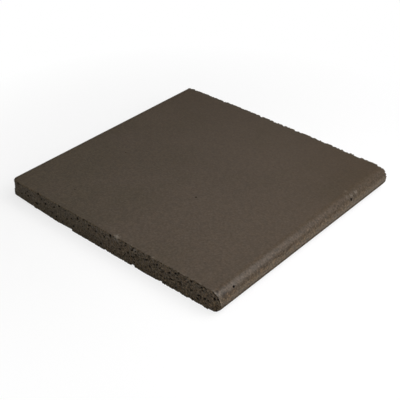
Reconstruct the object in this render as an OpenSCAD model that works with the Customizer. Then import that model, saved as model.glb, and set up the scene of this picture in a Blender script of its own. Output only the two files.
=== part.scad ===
// Round-edge quarry tile: one fired clay slab with a half-round nose along one edge.
// X runs from the square edge to the nose, Y along the nose, Z up.
// The origin is at the middle of the underside.

/* [Tile] */
// Width, from the square edge to the tip of the nose
tile_w = 150; // [100:1:220]
// Length along the nose, between the two cut ends
tile_l = 150; // [80:1:300]
// Thickness over the nose, which is also the nose's height
tile_t = 12.5; // [10:0.1:20]

/* [Edges] */
// Radius of the square edge's upper arris
upper_arris_r = 0.5; // [0.3:0.1:1.5]
// Radius of the square edge's lower arris
lower_arris_r = 1; // [0.4:0.1:1.5]
// Radius of the upright corners where the square edge meets the cut ends
corner_r = 2; // [0.5:0.1:4]
// How far the far cut end bulges at mid-width, from the bow of the cutting wire
wire_bow = 1.4; // [0.4:0.1:3]

/* [Back] */
// How high the underside has risen where it meets the square edge
heel_rise = 2.9; // [0.5:0.1:3]
// Width of the stretch over which the underside rises
heel_w = 44; // [30:1:70]
// Number of keying grooves that run along the flat part of the back
groove_count = 4; // [1:1:4]
// Distance from the tip of the nose to the first groove, and from one groove to the next
groove_pitch = 19.2; // [12:0.2:20]
// Width of a groove where it opens on the back
groove_w = 2.2; // [1.5:0.1:4]
// Depth of a groove's round bottom
groove_d = 0.6; // [0.4:0.1:1.2]

/* [Hidden] */
clay = "#524940";
nose_r = tile_t / 2;
nose_x = tile_w / 2 - nose_r;
edge_x = -tile_w / 2;
near_y = -tile_l / 2;
far_y = tile_l / 2;
heel_x = edge_x + heel_w;
heel_angle = atan(heel_rise / heel_w);
groove_r = (groove_w * groove_w / 4 + groove_d * groove_d) / (2 * groove_d);
bow_r = (tile_w * tile_w / 4 + wire_bow * wire_bow) / (2 * wire_bow);
bow_y = far_y - bow_r;
// How far a cutting shape runs past what it cuts
run_out = 2;
// Facets of a small round and of the long wire bow, as drawn on screen
small_fn = 64;
bow_fn = 1440;

// Height of the underside at a distance x from the middle
function underside(x) = x < heel_x ? (heel_x - x) * tan(heel_angle) : 0;

// Centres of the two arrises of the square edge, in the section's plane
lower_arris = [
    edge_x + lower_arris_r,
    underside(edge_x + lower_arris_r) + lower_arris_r / cos(heel_angle)
];
upper_arris = [edge_x + upper_arris_r, tile_t - upper_arris_r];

// Centres of the two upright corners in plan; the far one touches the wire's bow
corner_x = edge_x + corner_r;
near_corner = [corner_x, near_y + corner_r];
far_corner = [corner_x, bow_y + sqrt(pow(bow_r - corner_r, 2) - corner_x * corner_x)];
bow_touch = [0, bow_y] + (far_corner - [0, bow_y]) * bow_r / (bow_r - corner_r);

// Slab from the square edge to the nose's centre, with its two arrises cut off straight
module slab_outline() {
    polygon([
        [nose_x, 0],
        [heel_x, 0],
        lower_arris - lower_arris_r * [sin(heel_angle), cos(heel_angle)],
        [edge_x, lower_arris[1]],
        [edge_x, upper_arris[1]],
        [upper_arris[0], tile_t],
        [nose_x, tile_t]
    ]);
}

// Round-bottomed keying grooves, each as deep below its own stretch of the back
module groove_outlines() {
    for (i = [1:groove_count]) {
        x = tile_w / 2 - i * groove_pitch;
        translate([x, underside(x) + groove_d - groove_r])
            circle(r = groove_r, $fn = small_fn);
    }
}

// Draws a shape in the section's plane out along Y, past both cut ends
module draw_out() {
    translate([0, far_y + run_out, 0])
        rotate([90, 0, 0])
            linear_extrude(height = tile_l + 2 * run_out)
                children();
}

// The bar as it leaves the die: slab, nose and rounded arrises, less the grooves
module bar() {
    difference() {
        union() {
            draw_out()
                slab_outline();
            draw_out()
                translate([nose_x, nose_r])
                    circle(r = nose_r, $fn = 2 * small_fn);
            draw_out()
                translate(lower_arris)
                    circle(r = lower_arris_r, $fn = small_fn);
            draw_out()
                translate(upper_arris)
                    circle(r = upper_arris_r, $fn = small_fn);
        }
        draw_out()
            groove_outlines();
    }
}

// Plan of the cut tile, with the corners of the square edge cut off straight
module plan_outline() {
    polygon([
        [edge_x, near_corner[1]],
        [corner_x, near_y],
        [tile_w / 2 + run_out, near_y],
        [tile_w / 2 + run_out, far_y + run_out],
        [bow_touch[0], far_y + run_out],
        bow_touch,
        [edge_x, far_corner[1]]
    ]);
}

// Raises a shape in plan through the whole thickness
module raise() {
    translate([0, 0, -run_out])
        linear_extrude(height = tile_t + 2 * run_out)
            children();
}

// Where the cutting wire leaves clay: a flat near end, a bowed far end and soft corners
module cut_block() {
    intersection() {
        union() {
            raise()
                plan_outline();
            raise()
                translate(near_corner)
                    circle(r = corner_r, $fn = small_fn);
            raise()
                translate(far_corner)
                    circle(r = corner_r, $fn = small_fn);
        }
        raise()
            translate([0, bow_y])
                circle(r = bow_r, $fn = bow_fn);
    }
}

module trim_tile() {
    color(clay)
        intersection() {
            bar();
            cut_block();
        }
}

trim_tile();
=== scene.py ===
"""Round-edge quarry tile: fired, unglazed clay with torn wire-cut ends."""
import math
import random

import bmesh
import bpy
from mathutils import Matrix, Vector, kdtree, noise


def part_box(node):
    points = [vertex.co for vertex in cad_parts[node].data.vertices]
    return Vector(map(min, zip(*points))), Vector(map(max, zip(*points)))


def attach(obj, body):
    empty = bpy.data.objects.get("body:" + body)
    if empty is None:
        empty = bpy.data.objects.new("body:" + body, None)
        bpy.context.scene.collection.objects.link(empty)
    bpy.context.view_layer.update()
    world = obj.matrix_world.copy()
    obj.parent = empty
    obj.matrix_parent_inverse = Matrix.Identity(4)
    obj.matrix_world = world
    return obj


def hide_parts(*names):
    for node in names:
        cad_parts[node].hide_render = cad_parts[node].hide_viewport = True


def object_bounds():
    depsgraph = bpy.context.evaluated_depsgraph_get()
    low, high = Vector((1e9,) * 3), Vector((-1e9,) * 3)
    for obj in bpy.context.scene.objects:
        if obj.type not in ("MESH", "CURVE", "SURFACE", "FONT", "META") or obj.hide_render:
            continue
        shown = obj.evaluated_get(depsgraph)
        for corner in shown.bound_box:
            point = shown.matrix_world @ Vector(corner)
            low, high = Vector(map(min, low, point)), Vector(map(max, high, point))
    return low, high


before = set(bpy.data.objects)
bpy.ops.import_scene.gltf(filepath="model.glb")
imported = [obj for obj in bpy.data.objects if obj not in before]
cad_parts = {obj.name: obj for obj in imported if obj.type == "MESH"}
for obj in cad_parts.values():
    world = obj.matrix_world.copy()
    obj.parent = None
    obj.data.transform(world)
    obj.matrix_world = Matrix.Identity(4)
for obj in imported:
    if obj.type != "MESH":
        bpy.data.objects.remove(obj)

MM = 0.001
X, Y, Z = range(3)
TILE = "trim_tile"
cad_low, cad_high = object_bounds()

# The tile's own sizes in millimetres, read from the frame
LOW, HIGH = (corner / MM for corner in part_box(TILE))
THICKNESS = HIGH.z - LOW.z
NOSE_R = THICKNESS / 2
NOSE_X = HIGH.x - NOSE_R
MIDDLE_Z = (LOW.z + HIGH.z) / 2

# Cells of the mesh in millimetres: fine on the torn ends, in the skin's holes and in the scraped
# patch of the nose, coarse elsewhere
END_CELL = 0.28
ARRIS_CELL = 0.5
NOSE_CELL = 0.6
SKIN_CELL = 4.0
HOLE_CELL = 0.22
SCRAPE_CELL = 0.3

# How far over the skin the ends' finer mesh runs on, from the near end and from the far one
NEAR_BAND = 3.0
FAR_BAND = 3.5

# How much of its normal a face has along an axis, at least, when it looks that way
FACING = 0.7

# Depths of the relief in millimetres: the skin's waves, and the ends' swell, grain and crumbs
WAVE_DEPTH = 0.02
SWELL_DEPTH = 0.03
GRAIN_DEPTH = 0.35
CRUMB_DEPTH = 0.40

# From here towards the nose the wire chipped both ends' upper arrises more
CHIPPED_X = 10
# The near lower arris is more ragged from here to the nose
RAGGED_X = 44
# Width of the wear on the near upper arris before and after CHIPPED_X, and on the near lower one
RUBBED_WIDTH = 1.2
CHIPPED_WIDTH = 0.9
LOWER_WIDTH = 2.0
# Width of the wear on the far end's arrises
FAR_WIDTH = 1.3
# Where the wear of the near upper corner ends, how deep it is and how much wider than the arris's
CORNER_REACH = 2.5
CORNER_DEPTH = 1.1
CORNER_SPREAD = 1.4
# The far upper arris has separate deep chips between these two places
FAR_CHIPS_FROM = -62
FAR_CHIPS_TO = 48
# From here to the tip of the nose the far upper arris is nearly smooth
FAR_SMOOTH_X = 70

# Stretches that differ from the rest of their arris: from x, to x, and the wear at either end.
# Wear below nothing means that the clay stands proud there.
NEAR_LOWER_STRETCHES = [
    (67, 76, 0.5, 0.5), (-38, -27.5, 0.1, 1.15), (-57.5, -55.5, -0.35, -0.35),
    (-10, 28, -0.15, -0.15), (16.4, 18.4, 0.3, 0.3),
]
FAR_UPPER_STRETCHES = [
    (49.2, 52, -0.4, -0.4), (53.4, 56.6, 0.5, 0.5), (64.1, 67.5, -0.4, -0.4),
    (68.2, 70.2, 0.6, 0.6), (70, 71.3, 0.15, 0.15), (71.3, 76, -0.25, -0.25),
]

# Deep pits that show on the near end, with painted shade inside: x, z, length, width and slant from level,
# in mm and degrees
NEAR_END_PITS = [
    (-53.4, 12.1, 1.6, 1.3, 50), (-47.6, 8.3, 1.3, 1.2, 60), (-39.4, 3.8, 1.5, 0.9, 20),
    (-36.4, 11.8, 1.7, 0.9, 20), (-34.6, 2.9, 1.2, 0.8, 0), (-27, 8.1, 1.3, 1.2, 50),
    (-25.8, 3.9, 1.6, 0.8, 50), (-22.2, 10.6, 2.2, 1.1, 90), (-13.8, 10.2, 1.7, 1.0, 50),
    (-8.8, 9, 1.6, 0.8, 50), (-5.4, 2.7, 1.6, 1.0, 0), (-2.6, 8.6, 1.4, 1.1, 60),
    (1.8, 11.4, 1.9, 1.6, 20), (8.6, 6.3, 1.6, 1.2, 20), (10, 8.9, 1.2, 0.7, 20),
    (13.2, 12, 2.0, 0.7, 0), (14.4, 6.7, 1.7, 0.9, 20), (17.2, 9.9, 2.0, 0.8, 45),
    (18, 11.4, 1.6, 0.6, 60), (17.4, 5.5, 2.6, 0.9, 0), (18.6, 3.1, 1.5, 1.1, 20),
    (28.6, 12.4, 3.0, 0.6, 0), (29.4, 6.2, 1.4, 1.1, 50), (34.2, 9.8, 1.5, 0.9, 60),
    (38.2, 7.6, 1.4, 1.1, 0), (42.2, 8.7, 1.6, 1.2, 20), (43.6, 5.7, 1.6, 1.0, 0),
    (46.6, 10.8, 1.6, 1.0, 70), (48.5, 12.1, 1.4, 1.0, 30), (56.4, 11.3, 1.7, 1.1, 20),
    (60.6, 12.1, 2.4, 0.8, 0), (63, 11.1, 1.8, 0.9, 20), (61.6, 5.3, 2.8, 1.0, 10),
    (60.5, 3, 1.8, 1.3, 0), (65, 5.3, 1.3, 1.2, 90), (67, 5.3, 1.2, 1.0, 0),
    (71, 8.7, 1.9, 1.5, 45), (73, 9.3, 1.5, 1.0, 90),
]

# Shallow hollows, with fainter painted shade that shows brown and not black, given in the same way
NEAR_END_HOLLOWS = [
    (-69.8, 11.6, 2.6, 1.2, 10), (-62, 7, 2.2, 1.0, 45), (-64, 7.9, 2.0, 0.8, 45),
    (-67.4, 6.1, 1.4, 1.0, 20), (-55.4, 5, 3.0, 1.6, 10), (-50.7, 9.9, 1.4, 0.9, 30),
    (-42.8, 4.8, 1.8, 1.4, 0), (-40.6, 9.3, 2.6, 0.9, 30), (-30.8, 6.4, 1.6, 1.2, 90),
    (-17.6, 12, 1.5, 1.2, 0), (-14.2, 7.8, 1.8, 0.9, 50), (5.6, 11.2, 1.4, 1.0, 0),
    (19.8, 7.3, 1.6, 1.2, 30), (25.2, 8.5, 1.8, 0.8, 30), (32, 8.7, 1.8, 0.8, 50),
    (37, 4.3, 2.8, 0.9, 0), (43.8, 5.7, 3.8, 0.8, 0), (49.4, 6.3, 2.4, 2.0, 0),
    (56.2, 6.1, 1.6, 1.4, 0), (63.6, 9.6, 1.6, 1.3, 0), (65.4, 11.8, 2.2, 0.7, 0),
]

# How many small pits are strewn over both ends
SMALL_PITS = 1200
# How pale the crumbled rim of a pit shows
PIT_RIM = 0.15


def nose_point(y, angle):
    """A point on the nose, at an angle in degrees from straight up."""
    lean = math.radians(angle)
    return Vector((NOSE_X + NOSE_R * math.sin(lean), y, MIDDLE_Z + NOSE_R * math.cos(lean)))


# Small holes in the skin: the point, the width and the depth in mm, and how dark their painted shade is
SKIN_PITS = [
    (nose_point(-63.5, 47), 1.5, 1.1, 1.0),
    (nose_point(-29.2, 61), 0.9, 0.3, 0.8),
    (nose_point(37.8, 58.5), 1.9, 1.4, 1.0),
    (Vector((12.4, -20.7, HIGH.z)), 1.5, 0.5, 0.7),
    (Vector((-41.3, -59.2, HIGH.z)), 1.2, 0.2, 0.25),
    (Vector((-48, -13, HIGH.z)), 1.2, 0.2, 0.35),
]

# A scraped patch of the nose: its middle, and half its width
SCRAPE = nose_point(40, 38)
SCRAPE_REACH = 5.5

# The shallow marks in it, given as the holes are
SCRAPE_MARKS = [
    (nose_point(40.6, 53), 1.6, 0.25, 0.35),
    (nose_point(36.1, 18), 1.4, 0.15, 0.25),
    (nose_point(42, 36), 1.1, 0.15, 0.2),
]

# Spots where the clay was rubbed pale, in the scraped patch, elsewhere on the nose and along the
# near upper arris: the point, the radius in mm, and how pale they show
SCUFFS = [
    (nose_point(43.7, 43), 1.7, 0.5),
    (nose_point(39.3, 40), 1.5, 0.4),
    (nose_point(35.8, 35), 1.4, 0.3),
    (nose_point(38.5, 8), 1.2, 0.3),
    (Vector((5.8, LOW.y, 12.2)), 2.8, 1.0),
    (Vector((18.8, LOW.y, 10.7)), 1.8, 1.0),
    (Vector((31.5, LOW.y, 12.4)), 1.6, 0.6),
]


# ---------------------------------------------------------------- the mesh

def welded_copy(node):
    """The CAD node's own mesh, with its seams closed and its flat faces whole."""
    bm = bmesh.new()
    bm.from_mesh(node.data)
    bmesh.ops.remove_doubles(bm, verts=bm.verts, dist=0.001 * MM)
    bmesh.ops.dissolve_limit(bm, angle_limit=math.radians(0.3), verts=bm.verts, edges=bm.edges)
    return bm


def split(bm, faces, axis, place):
    """Cuts faces at a plane across one axis, and returns those below it and those above."""
    normal = Vector((0, 0, 0))
    normal[axis] = 1
    point = normal * place * MM
    edges = {edge for face in faces for edge in face.edges}
    verts = {vert for face in faces for vert in face.verts}
    cut = bmesh.ops.bisect_plane(
        bm, geom=[*verts, *edges, *faces], dist=0.0001 * MM, plane_co=point, plane_no=normal
    )
    pieces = [item for item in cut["geom"] if isinstance(item, bmesh.types.BMFace)]
    below = [face for face in pieces if face.calc_center_median()[axis] < point[axis]]
    above = [face for face in pieces if face.calc_center_median()[axis] >= point[axis]]
    return below, above


def slice_into(bm, faces, axis, start, end, count):
    """Slices a stretch of faces into count even slices, by halving."""
    if count < 2 or not faces:
        return faces
    half = count // 2
    middle = start + (end - start) * half / count
    below, above = split(bm, faces, axis, middle)
    first = slice_into(bm, below, axis, start, middle, half)
    second = slice_into(bm, above, axis, middle, end, count - half)
    return first + second


def slice_evenly(bm, faces, axis, start, end, cell):
    """Slices a stretch of faces along one axis into even slices about as wide as cell."""
    rounding = 0.01
    return slice_into(bm, faces, axis, start, end, math.ceil((end - start) / cell - rounding))


def slice_tile(bm):
    """Gives the torn ends and their arrises a fine grid, and the skin between them a coarse one."""
    near, rest = split(bm, bm.faces[:], Y, LOW.y + NEAR_BAND)
    middle, far = split(bm, rest, Y, HIGH.y - FAR_BAND)
    ends = slice_evenly(bm, near + far, X, LOW.x, HIGH.x, END_CELL)
    flat, nose = split(bm, middle, X, NOSE_X)
    flat = slice_evenly(bm, flat, X, LOW.x, NOSE_X, SKIN_CELL)
    nose = slice_evenly(bm, nose, X, NOSE_X, HIGH.x, NOSE_CELL)
    middle = slice_evenly(bm, flat + nose, Y, LOW.y + NEAR_BAND, HIGH.y - FAR_BAND, SKIN_CELL)
    near, far = split(bm, ends, Y, 0)
    near = slice_evenly(bm, near, Y, LOW.y, LOW.y + NEAR_BAND, ARRIS_CELL)
    far = slice_evenly(bm, far, Y, HIGH.y - FAR_BAND, HIGH.y, ARRIS_CELL)
    slice_evenly(bm, middle, Z, LOW.z, HIGH.z, NOSE_CELL)
    slice_evenly(bm, near + far, Z, LOW.z, HIGH.z, END_CELL)


def slice_spot(bm, centre, reach, cell, axes=(X, Y, Z)):
    """Gives a small spot of the skin a fine grid of its own, cut across the axes in that order."""
    faces = bm.faces[:]
    for axis in axes:
        faces = split(bm, faces, axis, centre[axis] - reach)[1]
        faces = split(bm, faces, axis, centre[axis] + reach)[0]
    for axis in axes:
        start, end = centre[axis] - reach, centre[axis] + reach
        faces = slice_evenly(bm, faces, axis, start, end, cell)


def is_end(face):
    """True for a face of one of the two cut ends."""
    return abs(face.normal.y) > FACING


def on_skin(vert):
    """True for a vertex of the skin, or of the arris between the skin and an end."""
    return not all(is_end(face) for face in vert.link_faces)


def end_of(vert):
    """-1 for a vertex of the near cut end, 1 for one of the far end, 0 for the skin."""
    for face in vert.link_faces:
        if is_end(face):
            return 1 if face.normal.y > 0 else -1
    return 0


def round_nose(bm):
    """Moves the nose's skin from the CAD mesh's flats out to its true round."""
    for vert in bm.verts:
        place = vert.co / MM
        if place.x > NOSE_X and on_skin(vert):
            out = Vector((place.x - NOSE_X, 0, place.z - MIDDLE_Z)).normalized()
            vert.co = Vector((NOSE_X, place.y, MIDDLE_Z)) * MM + out * NOSE_R * MM
    bm.normal_update()


# ---------------------------------------------------------------- the relief

def ripple(place, wavelength, seed):
    """Smooth noise from about -1 to 1, with bumps one wavelength apart; each seed has its own."""
    shift_x, shift_y = 37.3, 11.9
    return noise.noise(place / wavelength + Vector((shift_x * seed, shift_y * seed, 0)))


def bumps(place, wavelength, seed):
    """The upper half of a ripple: separate bumps with nothing between them."""
    return max(0, ripple(place, wavelength, seed))


def nose_half(place):
    """From -1 in the half with the square edge to 1 in the half with the nose."""
    change = 20
    return min(1, max(-1, place.x / change))


def tree_of(places):
    """A search tree of places."""
    tree = kdtree.KDTree(len(places))
    for index, place in enumerate(places):
        tree.insert(place, index)
    tree.balance()
    return tree


# How the clay shows at a vertex, from 0 to 1: painted shade in a pit, pale where rubbed and where a
# highlight is painted along the near upper arris, torn by the wire, coarse in its specks, lit by a band of
# painted light round the nose's tip, matt, and scored where it was drawn through the die
TONES = ("pit_shade", "pale", "torn", "coarse", "lit_band", "matt", "drawn")


class Relief:
    """How deep each vertex lies below the plain surface, and how its clay shows there."""

    def __init__(self, bm):
        self.layers = {name: bm.verts.layers.float.new(name) for name in TONES}
        self.verts = bm.verts[:]
        self.places = [vert.co / MM for vert in self.verts]
        self.depth = [0.0] * len(self.verts)
        self.tones = {name: [0.0] * len(self.verts) for name in TONES}
        self.tree = tree_of(self.places)

    def raise_tone(self, name, index, amount):
        """Raises a tone at a vertex to at least that amount."""
        tone = self.tones[name]
        tone[index] = max(tone[index], min(1, amount))

    def press_pit(self, centre, along, length, width, deep, darkness):
        """Presses a pit with a ragged oval mouth, painted shade inside it and a pale crumbled rim."""
        lip, rim, reach = 0.8, 1.8, 0.7 * length + 0.1
        for place, index, _ in self.tree.find_range(centre, reach):
            offset = place - centre
            run = offset.dot(along)
            side = (offset - run * along).length
            wobble = 1 + 0.25 * ripple(place, 0.7, seed=3)
            mouth = ((2 * run / length) ** 2 + (2 * side / width) ** 2) * wobble
            if mouth < 1:
                # Painted shade inside the pit's mouth
                self.raise_tone("pit_shade", index, darkness * min(1, 2.5 * (1 - mouth)))
            elif mouth < rim:
                self.raise_tone("pale", index, PIT_RIM * darkness)
            if mouth < lip:
                self.depth[index] = max(self.depth[index], deep * (lip - mouth) ** 0.6)

    def lay_scuff(self, centre, radius, amount):
        """Lightens a ragged spot, as where the skin was rubbed."""
        for place, index, distance in self.tree.find_range(centre, radius):
            fade = 1 - distance / radius + 0.9 * ripple(place, 0.9, seed=5)
            self.raise_tone("pale", index, amount * min(1, fade))

    def press_in(self):
        """Moves every vertex in by its depth, within the tile's box, and keeps the tones with the mesh."""
        normals = [vert.normal.copy() for vert in self.verts]
        for index, vert in enumerate(self.verts):
            place = self.places[index] - normals[index] * self.depth[index]
            vert.co = Vector(min(max(p, a), b) for p, a, b in zip(place, LOW, HIGH)) * MM
            for name, layer in self.layers.items():
                vert[layer] = self.tones[name][index]


def wave_skin(relief):
    """Gives the whole tile the slight waves that drying leaves."""
    for index, place in enumerate(relief.places):
        relief.depth[index] += WAVE_DEPTH * (1 + ripple(place, 30, seed=61))


def torn_depth(place, side):
    """Depth of the grain that the cutting wire tore in an end, coarser near the nose."""
    coarse = 0.6 + 0.4 * nose_half(place) if side < 0 else 0.5
    swell = SWELL_DEPTH * (1 + ripple(place, 7, seed=40 + side))
    grain = GRAIN_DEPTH * max(0, ripple(place, 1.6, seed=41 + side) + 0.1)
    crumb = CRUMB_DEPTH * max(0, ripple(place, 0.9, seed=42 + side) + 0.1)
    return swell + coarse * (grain + crumb)


def tear_ends(relief):
    """Roughens both cut ends."""
    for index, vert in enumerate(relief.verts):
        side = end_of(vert)
        if side:
            relief.depth[index] += torn_depth(relief.places[index], side)
            relief.tones["torn"][index] = 1.0


def listed_wear(stretches, x, plain):
    """Wear at x: that of the last listed stretch that holds x, or else the plain wear."""
    wear = plain
    for start, end, first, last in stretches:
        if start < x < end:
            wear = first + (last - first) * (x - start) / (end - start)
    return wear


def near_arris_wear(place):
    """Depth to which the near end's arrises are chipped, and how wide that wear is."""
    chips = bumps(place, 1.8, seed=11) + 0.6 * bumps(place, 0.9, seed=12)
    if place.z <= MIDDLE_Z:
        rag = 0.5 if place.x > RAGGED_X else 0.15
        return listed_wear(NEAR_LOWER_STRETCHES, place.x, 0.0) + rag * chips, LOWER_WIDTH
    if place.x > CHIPPED_X:
        return 0.05 + 0.5 * chips, CHIPPED_WIDTH
    corner = max(0, 1 - (place.x - LOW.x) / CORNER_REACH)
    deep = 0.16 + 0.1 * chips + CORNER_DEPTH * corner
    return deep, RUBBED_WIDTH + CORNER_SPREAD * corner


def far_arris_wear(place):
    """Depth to which the far end's arrises are torn, and how wide that wear is."""
    if place.z < MIDDLE_Z:
        return 0.4 * bumps(place, 2.0, seed=21) + 0.3 * bumps(place, 1.0, seed=22), FAR_WIDTH
    fine = ripple(place, 1.0, seed=22)
    # Before CHIPPED_X the arris stands prouder, and only its deepest chips cut into it
    proud, chip_depth = (0.15, 1.2) if place.x > CHIPPED_X else (0.45, 3.2)
    torn = 0.6 * ripple(place, 2.0, seed=21) + 0.55 * fine - proud
    if FAR_CHIPS_FROM < place.x < FAR_CHIPS_TO:
        torn += chip_depth * max(0, ripple(place, 2.0, seed=25) - 0.12)
    torn = listed_wear(FAR_UPPER_STRETCHES, place.x, torn)
    if place.x > FAR_SMOOTH_X:
        torn += 0.1 * fine
    return torn, FAR_WIDTH


def wear_arrises(relief):
    """Wears the arris between each cut end and the skin, chip by chip."""
    for side, wear_at in ((-1, near_arris_wear), (1, far_arris_wear)):
        arris = [
            place for vert, place in zip(relief.verts, relief.places)
            if end_of(vert) == side and on_skin(vert)
        ]
        tree = tree_of(arris)
        worn = [wear_at(place) for place in arris]
        for index, place in enumerate(relief.places):
            if side * place.y < side * arris[0].y - FAR_BAND:
                continue
            _, nearest, distance = tree.find(place)
            deep, width = worn[nearest]
            if distance < width:
                relief.depth[index] += deep * (1 - distance / width) ** 2


def level_lean(slant):
    """Direction in the plane of an end, at an angle in degrees from level."""
    angle = math.radians(slant)
    return Vector((math.cos(angle), 0, math.sin(angle)))


def press_listed(relief, pits, darkness):
    """Presses the listed pits of the near end, deeper where their painted shade is darker."""
    # What shows of a pit is a little smaller than its mouth
    lengthen, widen, deepen = 1.1, 1.25, 1.2
    for x, z, length, width, slant in pits:
        centre = Vector((x, LOW.y, z))
        deep = deepen * width * darkness
        relief.press_pit(centre, level_lean(slant), lengthen * length, widen * width, deep, darkness)


def slot_round(relief):
    """Opens a broken slot just inside the near end's round, under the lip that the wire left, with painted
    shade in it for the lip's shadow.
    """
    inside, width, deep, darkness = 0.45, 0.6, 0.5, 0.75
    for angle in range(10, 105, 9):
        lean = math.radians(angle)
        out = Vector((math.sin(lean), 0, math.cos(lean)))
        along = Vector((math.cos(lean), 0, -math.sin(lean)))
        centre = nose_point(LOW.y, angle) - inside * out
        length = 1.5 + 1.2 * ripple(centre, 1.7, seed=15)
        relief.press_pit(centre, along, length, width, deep, darkness)


def strew_pits(relief):
    """Presses many small pits in both ends, each with painted shade inside, most of them low down and
    towards the nose.
    """
    chance = random.Random(7)
    ends = [place for vert, place in zip(relief.verts, relief.places) if end_of(vert)]
    for _ in range(SMALL_PITS):
        centre = chance.choice(ends)
        along = level_lean(chance.uniform(-15, 60))
        length = chance.uniform(0.6, 1.5)
        width = chance.uniform(0.5, 0.8)
        darkness = chance.uniform(0.25, 0.8) + (0.2 if centre.x > 0 else 0)
        if centre.x > chance.uniform(-120, 30) or centre.z < chance.uniform(0, 5):
            relief.press_pit(centre, along, length, width, darkness * width, darkness)


def pit_ends(relief):
    """Presses the pits that the wire opened in both ends."""
    press_listed(relief, NEAR_END_PITS, 1.0)
    press_listed(relief, NEAR_END_HOLLOWS, 0.6)
    slot_round(relief)
    strew_pits(relief)


def pit_skin(relief):
    """Presses the few holes that show in the skin, with painted shade inside them."""
    for centre, width, deep, darkness in SKIN_PITS + SCRAPE_MARKS:
        relief.press_pit(centre, Vector((0, 1, 0)), width, width, deep, darkness)


def rub_and_highlight_arris(relief):
    """Lightens the skin beside the near end's upper arris, where the wire left a burr: partly pale wear,
    partly a painted highlight along the burr's edge.
    """
    pale_band, reach, lowest_z = 1.2, 3, 4
    for index, place in enumerate(relief.places):
        beside = place.y - LOW.y
        if relief.tones["torn"][index] or beside > reach or place.z < lowest_z:
            continue
        fade = max(0, 1 - beside / pale_band)
        crumbs = bumps(place, 0.9, seed=14)
        chips = bumps(place, 2.5, seed=13) + 1.5 * crumbs
        amount = (0.1 + (0.8 if place.x > CHIPPED_X else 0.15) * chips) * fade
        if place.x > NOSE_X:
            amount += 0.2 * fade + 0.4 * crumbs * (1 - beside / reach)
        # Pale wear and a painted highlight along the arris
        relief.raise_tone("pale", index, amount)


def set_nose_tones(relief, index, place):
    """Paints a band of light, lighter and warmer, round the nose's tip, makes the clay matt below it, and
    returns its coarseness.
    """
    # Angles round the nose, in degrees from straight up
    lit_band_from, lit_band_to, matt_from = 60, 108, 93
    angle = math.degrees(math.atan2(place.x - NOSE_X, place.z - MIDDLE_Z))
    below = min(1, (180 - angle) / 60)
    near = max(0, 1 - (place.y - LOW.y) / 10)
    # Painted light on the nose's lower round, fading in and out at its edges
    lit_band = min(1, (angle - lit_band_from) / 13, (lit_band_to - angle) / 12)
    relief.tones["lit_band"][index] = max(0, lit_band)
    relief.tones["matt"][index] = max(0, min(below, (angle - matt_from) / 8))
    return 0.5 * min(angle / 60, below) + 0.4 * near * min(1, angle / 10, below)


def coarsen_clay(relief):
    """Sets the clay's tones: finest on top, coarser down the nose and on the torn ends."""
    for index, place in enumerate(relief.places):
        coarse = 0.3 - 0.15 * (place.y - LOW.y) / (HIGH.y - LOW.y)
        if place.x > NOSE_X:
            coarse += set_nose_tones(relief, index, place)
        if relief.tones["torn"][index]:
            coarse = 0.75 + 0.1 * nose_half(place)
        relief.tones["coarse"][index] = coarse


def score_back(relief):
    """Marks the back and the square edge, where the die scored the clay."""
    for index, vert in enumerate(relief.verts):
        outside = vert.normal.z < -FACING or vert.normal.x < -FACING
        if outside and not relief.tones["torn"][index]:
            relief.tones["drawn"][index] = 1.0


def scuff_skin(relief):
    """Lays the pale rubbed spots."""
    for centre, radius, amount in SCUFFS:
        relief.lay_scuff(centre, radius, amount)


def tile_body(node):
    """The tile as it shows: the CAD node's shape with torn ends, worn arrises and pits."""
    bm = welded_copy(node)
    for centre, width, *_ in SKIN_PITS:
        slice_spot(bm, centre, 0.7 * width, HOLE_CELL)
    slice_tile(bm)
    slice_spot(bm, SCRAPE, SCRAPE_REACH, SCRAPE_CELL, (Y, X, Z))
    bm.normal_update()
    round_nose(bm)
    relief = Relief(bm)
    wave_skin(relief)
    tear_ends(relief)
    wear_arrises(relief)
    pit_ends(relief)
    pit_skin(relief)
    rub_and_highlight_arris(relief)
    coarsen_clay(relief)
    score_back(relief)
    scuff_skin(relief)
    relief.press_in()
    mesh = bpy.data.meshes.new("tile_body")
    bm.to_mesh(mesh)
    bm.free()
    mesh.shade_smooth()
    piece = bpy.data.objects.new("tile_body", mesh)
    bpy.context.scene.collection.objects.link(piece)
    return piece


# ---------------------------------------------------------------- the materials

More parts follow.
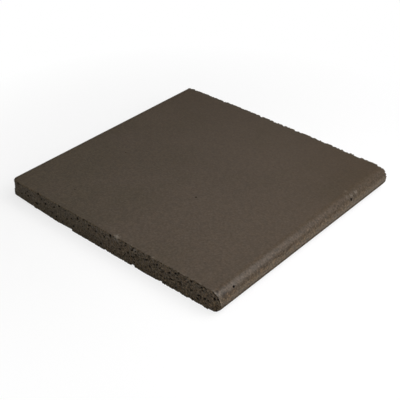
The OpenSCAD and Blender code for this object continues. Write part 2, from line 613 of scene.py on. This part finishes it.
class Shader:
    """A material's nodes, made one line at a time."""

    def __init__(self, name):
        self.material = bpy.data.materials.new(name)
        self.material.use_nodes = True
        self.tree = self.material.node_tree
        self.tree.nodes.clear()

    def fill(self, socket, value):
        """Sets an input to a value, or links it to another node's output."""
        if isinstance(value, bpy.types.NodeSocket):
            self.tree.links.new(value, socket)
        else:
            socket.default_value = value

    def node(self, kind, values=None, **settings):
        """A new node with its settings and its inputs."""
        made = self.tree.nodes.new(kind)
        for name, value in settings.items():
            setattr(made, name, value)
        for name, value in (values or {}).items():
            self.fill(made.inputs[name], value)
        return made

    def speckle(self, place, size, detail, rough=0.5):
        """Noise with bumps of about that size in millimetres."""
        values = {"Vector": place, "Scale": 1 / (size * MM), "Detail": detail, "Roughness": rough}
        return self.node("ShaderNodeTexNoise", values).outputs["Fac"]

    def spread(self, value, low, high, out_low, out_high):
        """value from low to high, stretched over out_low to out_high."""
        values = {0: value, 1: low, 2: high, 3: out_low, 4: out_high}
        return self.node("ShaderNodeMapRange", values).outputs[0]

    def blend(self, amount, first, second, how="MIX"):
        """Two colours mixed by amount."""
        made = self.node("ShaderNodeMix", data_type="RGBA", blend_type=how)
        factor, colour_a, colour_b = made.inputs[0], made.inputs[6], made.inputs[7]
        for socket, value in ((factor, amount), (colour_a, first), (colour_b, second)):
            self.fill(socket, value)
        return made.outputs[2]

    def math(self, operation, *values):
        """A sum or product of values."""
        return self.node("ShaderNodeMath", dict(enumerate(values)), operation=operation).outputs[0]

    def vector(self, operation, values):
        """A node that works on vectors, such as places and colours."""
        return self.node("ShaderNodeVectorMath", values, operation=operation)

    def attribute(self, name):
        """A value that the mesh holds for each vertex."""
        return self.node("ShaderNodeAttribute", attribute_name=name).outputs["Fac"]

    def finish(self, shader):
        """Links the surface and returns the material."""
        output = self.node("ShaderNodeOutputMaterial")
        self.tree.links.new(shader, output.inputs["Surface"])
        return self.material


# The clay's own colours, the colour of the painted shade in its pits, and the pale of rubbed clay, which
# also paints a highlight along the near upper arris
OLIVE_CLAY = (0.0680, 0.0511, 0.0329, 1)
RED_CLAY = (0.0732, 0.0539, 0.0376, 1)
# Colour of the painted shade in the pits
PIT_SHADE_COLOUR = (0.0052, 0.0038, 0.0026, 1)
# Pale of rubbed clay, which also paints the highlight along the near upper arris
PALE_WEAR_AND_HIGHLIGHT = (0.2260, 0.1950, 0.1570, 1)

# What the clay's colour is multiplied by: in streaks, on the torn ends, and round the nose's tip, where it
# paints a band of light
BROWN_TINT = (1.04, 0.98, 0.9, 1)
GREY_TINT = (0.97, 1.01, 1.06, 1)
TORN_TINT = (1.44, 1.41, 1.22, 1)
# Painted light round the nose's tip: lighter and warmer
LIT_BAND_TINT = (1.32, 1.29, 1.18, 1)

# Sizes of the clay's patterns in millimetres
CLOUD_SIZE = 40
PATCH_SIZE = 22
STREAK_SIZE = 3
FLECK_SIZE = 1.6
SCORE_SIZE = 1.2
SPECK_SIZE = 1.1
CRUMB_SIZE = 0.9
GRAIN_SIZE = 0.8

# How far the die's scores are drawn out along the tile: a place's Y counts for this much
DRAWN_OUT = 0.02
# Roughness of the smoothest clay, its reflection straight on, and the height of its grain
LEAST_ROUGHNESS = 0.28
SPECULAR_LEVEL = 0.2
GRAIN_HEIGHT = 0.1 * MM


def clay_hue(made, place, tones):
    """The clay's colour: olive near the square edge, browner beyond it, patchy and streaky, with a band of
    painted light round the nose's tip.
    """
    across = made.vector("DOT_PRODUCT", {0: place, 1: (1, 1, 0)}).outputs["Value"]
    patches = made.spread(made.speckle(place, PATCH_SIZE, 1), 0.3, 0.7, -0.4, 0.4)
    patches = made.math("ADD", patches, made.spread(across, -120 * MM, 0, 0, 1))
    hue = made.blend(patches, OLIVE_CLAY, RED_CLAY)
    streaks = made.spread(made.speckle(place, STREAK_SIZE, 1), 0.35, 0.65, 0, 1)
    hue = made.blend(tones["coarse"], hue, made.blend(streaks, BROWN_TINT, GREY_TINT), "MULTIPLY")
    hue = made.blend(tones["torn"], hue, TORN_TINT, "MULTIPLY")
    # Painted light round the nose's tip
    return made.blend(tones["lit_band"], hue, LIT_BAND_TINT, "MULTIPLY")


def clay_specks(made, place, tones):
    """Light and dark specks, crumbs on the torn ends and dark flecks where coarse elsewhere."""
    specks = made.spread(made.speckle(place, SPECK_SIZE, 2), 0.25, 0.75, -1, 1)
    crumbs = made.spread(made.speckle(place, CRUMB_SIZE, 1), 0.3, 0.7, -0.5, 0.5)
    specks = made.math("MULTIPLY_ADD", crumbs, tones["torn"], specks)
    fleckiness = made.math("SUBTRACT", tones["coarse"], tones["torn"])
    fleckiness = made.spread(fleckiness, 0.4, 0.8, 0, 1)
    # Fewer flecks in the band of painted light
    fleckiness = made.math("MULTIPLY", fleckiness, made.spread(tones["lit_band"], 0, 1, 1, 0.2))
    flecks = made.spread(made.speckle(place, FLECK_SIZE, 2), 0.5, 0.7, 0, -0.55)
    return made.math("MULTIPLY_ADD", flecks, fleckiness, specks)


def die_scores(made, place, tones):
    """Fine lines along the tile, where it was drawn through the die."""
    drawn_out = made.vector("MULTIPLY", {0: place, 1: (1, DRAWN_OUT, 1)}).outputs[0]
    scores = made.spread(made.speckle(drawn_out, SCORE_SIZE, 2), 0.3, 0.7, -1, 1)
    return made.math("MULTIPLY", scores, tones["drawn"])


def clay_shade(made, place, tones, scores):
    """How light or dark the clay's colour is, from its specks, its scores and a faint cloud."""
    specks = made.math("MULTIPLY", clay_specks(made, place, tones), tones["coarse"])
    shade = made.math("EXPONENT", made.math("MULTIPLY_ADD", scores, 0.12, specks))
    cloud = made.spread(made.speckle(place, CLOUD_SIZE, 2), 0.3, 0.7, 0.96, 1.04)
    return made.math("MULTIPLY", shade, cloud)


def clay_roughness(made, tones):
    """Roughness: least on the smooth top, full in the pits and on the matt strip of the nose."""
    dull = made.math("MULTIPLY_ADD", tones["coarse"], 0.1, tones["pit_shade"])
    dull = made.math("MAXIMUM", dull, tones["matt"])
    return made.spread(dull, 0, 1, LEAST_ROUGHNESS, 1)


def clay_bump(made, place, tones, scores):
    """The bump of the clay's grain and scores."""
    grain = made.speckle(place, GRAIN_SIZE, 3, 0.6)
    height = made.math("MULTIPLY", grain, made.math("ADD", tones["coarse"], 0.3))
    height = made.math("MULTIPLY_ADD", scores, 0.5, height)
    values = {"Height": height, "Strength": 1.0, "Distance": GRAIN_HEIGHT}
    return made.node("ShaderNodeBump", values).outputs[0]


def clay_material():
    """Matte fired clay: slightly patchy in hue, speckled, with painted shade in its pits, pale where
    rubbed, a painted highlight along the near upper arris and a band of painted light round the nose's
    tip.
    """
    made = Shader("fired_clay")
    place = made.node("ShaderNodeTexCoord").outputs["Object"]
    tones = {name: made.attribute(name) for name in TONES}
    scores = die_scores(made, place, tones)
    hue = clay_hue(made, place, tones)
    shade = clay_shade(made, place, tones, scores)
    clay = made.vector("SCALE", {0: hue, "Scale": shade}).outputs[0]
    # Pale wear, and the painted highlight along the near upper arris
    clay = made.blend(tones["pale"], clay, PALE_WEAR_AND_HIGHLIGHT)
    # Painted shade in the pits
    clay = made.blend(tones["pit_shade"], clay, PIT_SHADE_COLOUR)
    values = {
        "Base Color": clay,
        "Roughness": clay_roughness(made, tones),
        "Specular IOR Level": SPECULAR_LEVEL,
        "Normal": clay_bump(made, place, tones, scores),
    }
    return made.finish(made.node("ShaderNodeBsdfPrincipled", values).outputs[0])


# The floor's colours: plain white to the camera, and greyer in the light that it throws back
WHITE = (1, 1, 1, 1)
FLOOR_GREY = (0.58, 0.58, 0.58, 1)
# Between these distances from the tile's middle, in millimetres, its shadow fades out
SHADOW_FROM = 110
SHADOW_TO = 200
# How much of the plain white shows even in the shadow
LEAST_GLOW = 0.75


def floor_material():
    """Matte white that keeps the tile's shadow, and fades to plain white away from it."""
    made = Shader("floor_white")
    matte = made.node("ShaderNodeBsdfDiffuse", {"Color": FLOOR_GREY}).outputs[0]
    bright = made.node("ShaderNodeBsdfDiffuse", {"Color": WHITE}).outputs[0]
    glow = made.node("ShaderNodeEmission", {"Color": WHITE, "Strength": 1.0}).outputs[0]
    place = made.node("ShaderNodeTexCoord").outputs["Object"]
    away = made.vector("LENGTH", {0: place}).outputs["Value"]
    fade = made.spread(away, SHADOW_FROM * MM, SHADOW_TO * MM, LEAST_GLOW, 1)
    seen = made.node("ShaderNodeMixShader", {0: fade, 1: bright, 2: glow}).outputs[0]
    camera_ray = made.node("ShaderNodeLightPath").outputs["Is Camera Ray"]
    values = {0: camera_ray, 1: matte, 2: seen}
    return made.finish(made.node("ShaderNodeMixShader", values).outputs[0])


# ---------------------------------------------------------------- the studio

# Width of the floor in metres, and its gap below the tile in millimetres
FLOOR_WIDTH = 6
FLOOR_GAP = 0.02

# Lamps: name, azimuth and elevation in degrees, distance and size in metres, and level
LAMPS = [
    ("high_behind", 135, 65, 1.0, 0.6, 0.339),
    ("behind_nose", 130, 40, 0.6, 0.3, 0.076),
    ("beside_nose", 110, 40, 0.45, 0.3, 0.467),
    ("before_nose", 60, 45, 0.45, 0.3, 0.387),
    ("front_left", 315, 45, 1.0, 0.6, 0.079),
    ("behind_left", 225, 45, 1.0, 0.6, 0.077),
]

# The camera's place: azimuth and elevation in degrees, and distance in millimetres
CAMERA_AZIMUTH = 39.9
CAMERA_ELEVATION = 33.68
CAMERA_DISTANCE = 507.1
# How far from the tile's middle it aims, in millimetres, and its roll in degrees
AIM_RIGHT = -1.53
AIM_UP = -4.52
CAMERA_ROLL = 1.05
# Its lens and its sensor's width in millimetres, and the nearest that it sees in metres
LENS = 80.3
SENSOR_WIDTH = 36
NEAREST = 0.01


def direction(azimuth, elevation):
    """Unit vector towards a place round the tile; azimuth 0 is on the -Y side."""
    turn, rise = math.radians(azimuth), math.radians(elevation)
    return Vector((math.sin(turn) * math.cos(rise), -math.cos(turn) * math.cos(rise), math.sin(rise)))


def add_floor():
    """A wide white floor just under the tile."""
    height = cad_low.z - FLOOR_GAP * MM
    bpy.ops.mesh.primitive_plane_add(size=FLOOR_WIDTH, location=(0, 0, height))
    floor = bpy.context.object
    floor.name = "floor"
    floor.data.materials.append(floor_material())


def add_light(name, azimuth, elevation, distance, size, level):
    """A square soft light, whose level is what a white surface at the origin facing it shows."""
    lamp = bpy.data.lights.new(name, "AREA")
    lamp.size = size
    lamp.energy = level * (math.pi * distance) ** 2
    light = bpy.data.objects.new(name, lamp)
    towards = direction(azimuth, elevation)
    light.location = towards * distance
    light.rotation_mode = "QUATERNION"
    light.rotation_quaternion = towards.to_track_quat("Z", "Y")
    light.visible_camera = False
    bpy.context.scene.collection.objects.link(light)


def add_lights():
    """Soft light from behind, beside and before the nose, and a little from the other side."""
    for lamp in LAMPS:
        add_light(*lamp)


def add_world():
    """A white surround that only the camera sees."""
    world = bpy.data.worlds.new("studio")
    bpy.context.scene.world = world
    world.use_nodes = True
    tree = world.node_tree
    ground = tree.nodes["Background"]
    ground.inputs["Color"].default_value = WHITE
    path = tree.nodes.new("ShaderNodeLightPath")
    tree.links.new(path.outputs["Is Camera Ray"], ground.inputs["Strength"])


def add_camera():
    """The camera, at the height and distance that the tile was photographed from."""
    away = direction(CAMERA_AZIMUTH, CAMERA_ELEVATION)
    right = Vector((away.y, -away.x, 0)).normalized() * -1
    up = away.cross(right)
    place = away * CAMERA_DISTANCE * MM
    aim = (right * AIM_RIGHT + up * AIM_UP) * MM
    turn = (place - aim).to_track_quat("Z", "Y").to_matrix().to_4x4()
    roll = Matrix.Rotation(math.radians(CAMERA_ROLL), 4, "Z")
    data = bpy.data.cameras.new("camera")
    data.sensor_width = SENSOR_WIDTH
    data.lens = LENS
    data.clip_start = NEAREST
    camera = bpy.data.objects.new("camera", data)
    camera.matrix_world = Matrix.Translation(place) @ turn @ roll
    bpy.context.scene.collection.objects.link(camera)
    bpy.context.scene.camera = camera


def build():
    """The tile, then the studio round it."""
    tile = tile_body(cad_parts[TILE])
    tile.data.materials.append(clay_material())
    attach(tile, "root")
    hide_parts(TILE)
    add_floor()
    add_world()
    add_lights()
    add_camera()
    bpy.context.scene.view_settings.view_transform = "Standard"


build()
